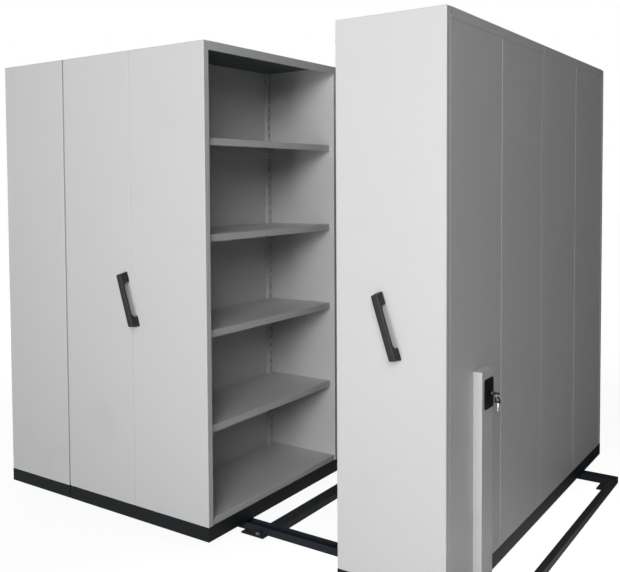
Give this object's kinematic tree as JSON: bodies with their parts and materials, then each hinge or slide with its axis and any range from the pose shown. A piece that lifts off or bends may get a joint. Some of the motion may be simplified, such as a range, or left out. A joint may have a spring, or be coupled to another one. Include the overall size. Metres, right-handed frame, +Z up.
{
  "type": "mobile shelving compactor",
  "caption": "Hand-pushed mobile filing shelves: a fixed rack and two wheeled racks on floor rails, with leaning pull handles, open shelf bays and a key-operated floor lock.",
  "frame": {"origin": "bottom centre of the bounding box at rest, on the floor under the rails", "axes": "+X along the rails from the fixed rack to the locking rack, +Y from the end panels with the handles to the far end, +Z up"},
  "size_m": [2.378, 2.0814, 2.035],
  "materials": {
    "grey_enamel": "semi-gloss light grey enamel on folded sheet steel",
    "black_enamel": "satin black enamel",
    "dark_plastic": "dark grey moulded plastic",
    "lock_black": "black lock plate",
    "bright_steel": "bright drawn steel",
    "wheel_steel": "turned steel",
    "key_plastic": "dark plastic key bow"
  },
  "bodies": {
    "track": {"front_rail_left": "black_enamel", "front_rail_right": "black_enamel", "rear_rail_left": "black_enamel", "rear_rail_right": "black_enamel", "left_end_crossbar": "black_enamel", "joint_crossbar": "black_enamel", "right_end_crossbar": "black_enamel", "static_plinth": "black_enamel", "static_front_panel": "grey_enamel", "static_rear_panel": "grey_enamel", "static_top": "grey_enamel", "static_back_panel_front": "grey_enamel", "static_back_panel_rear": "grey_enamel", "static_shelf_rack": "grey_enamel"},
    "middle_carriage": {"middle_carriage_frame": "black_enamel", "middle_front_panel_left": "grey_enamel", "middle_front_panel_right": "grey_enamel", "middle_rear_panel": "grey_enamel", "middle_top": "grey_enamel", "middle_divider_front": "grey_enamel", "middle_divider_rear": "grey_enamel", "middle_left_shelf_rack": "grey_enamel", "middle_right_upright": "grey_enamel", "middle_front_bay_base": "grey_enamel", "middle_front_bay_shelf_1": "grey_enamel", "middle_front_bay_shelf_2": "grey_enamel", "middle_front_bay_shelf_3": "grey_enamel", "middle_front_bay_shelf_4": "grey_enamel", "middle_rear_bay_base": "grey_enamel", "middle_rear_bay_shelf_1": "grey_enamel", "middle_rear_bay_shelf_2": "grey_enamel", "middle_rear_bay_shelf_3": "grey_enamel", "middle_rear_bay_shelf_4": "grey_enamel", "middle_handle": "dark_plastic"},
    "right_carriage": {"right_carriage_frame": "black_enamel", "right_front_panel": "grey_enamel", "right_rear_panel": "grey_enamel", "right_top": "grey_enamel", "right_back_panel_front": "grey_enamel", "right_back_panel_rear": "grey_enamel", "right_shelf_rack": "grey_enamel", "right_handle": "dark_plastic", "lock_box": "grey_enamel", "lock_plate": "lock_black"},
    "middle_left_wheelset": {"middle_left_axle": "bright_steel", "middle_left_front_wheel": "wheel_steel", "middle_left_rear_wheel": "wheel_steel"},
    "middle_right_wheelset": {"middle_right_axle": "bright_steel", "middle_right_front_wheel": "wheel_steel", "middle_right_rear_wheel": "wheel_steel"},
    "right_left_wheelset": {"right_left_axle": "bright_steel", "right_left_front_wheel": "wheel_steel", "right_left_rear_wheel": "wheel_steel"},
    "right_right_wheelset": {"right_right_axle": "bright_steel", "right_right_front_wheel": "wheel_steel", "right_right_rear_wheel": "wheel_steel"},
    "lock_barrel": {"lock_cylinder": "bright_steel", "key": "key_plastic"},
    "spare_key": {"spare_key_on_ring": "bright_steel"},
    "lock_bolt": {"lock_rod": "bright_steel"}
  },
  "joints": [
    {"name": "middle_slide", "type": "slide", "parent": "track", "child": "middle_carriage", "axis": [1, 0, 0], "range_m": [0, 0.29]},
    {"name": "right_slide", "type": "slide", "parent": "track", "child": "right_carriage", "axis": [1, 0, 0], "range_m": [-0.29, 0.06]},
    {"name": "middle_left_roll", "type": "hinge", "parent": "middle_carriage", "child": "middle_left_wheelset", "pos_m": [-0.677, 0.02365, 0.0473], "axis": [0, 1, 0], "range_deg": [0, 387]},
    {"name": "middle_right_roll", "type": "hinge", "parent": "middle_carriage", "child": "middle_right_wheelset", "pos_m": [-0.061, 0.02365, 0.0473], "axis": [0, 1, 0], "range_deg": [0, 387]},
    {"name": "right_left_roll", "type": "hinge", "parent": "right_carriage", "child": "right_left_wheelset", "pos_m": [0.729, 0.02365, 0.0473], "axis": [0, 1, 0], "range_deg": [-387, 80]},
    {"name": "right_right_roll", "type": "hinge", "parent": "right_carriage", "child": "right_right_wheelset", "pos_m": [0.937, 0.02365, 0.0473], "axis": [0, 1, 0], "range_deg": [-387, 80]},
    {"name": "key_turn", "type": "hinge", "parent": "right_carriage", "child": "lock_barrel", "pos_m": [1.069, -0.68535, 0.7285], "axis": [1, 0, 0], "range_deg": [0, 91]},
    {"name": "spare_key_swing", "type": "hinge", "parent": "lock_barrel", "child": "spare_key", "pos_m": [1.0941, -0.6771, 0.72054], "axis": [1, 0, 0], "range_deg": [-91, 0]},
    {"name": "bolt_drop", "type": "slide", "parent": "right_carriage", "child": "lock_bolt", "axis": [0, 0, -1], "range_m": [0, 0.024]}
  ],
  "couplings": [
    {"joint": "middle_left_roll", "follows": "middle_slide", "rad_per_m": 23.256},
    {"joint": "middle_right_roll", "follows": "middle_slide", "rad_per_m": 23.256},
    {"joint": "right_left_roll", "follows": "right_slide", "rad_per_m": 23.256},
    {"joint": "right_right_roll", "follows": "right_slide", "rad_per_m": 23.256},
    {"joint": "key_turn", "follows": "bolt_drop", "rad_per_m": 65.45},
    {"joint": "spare_key_swing", "follows": "bolt_drop", "rad_per_m": -65.45}
  ]
}
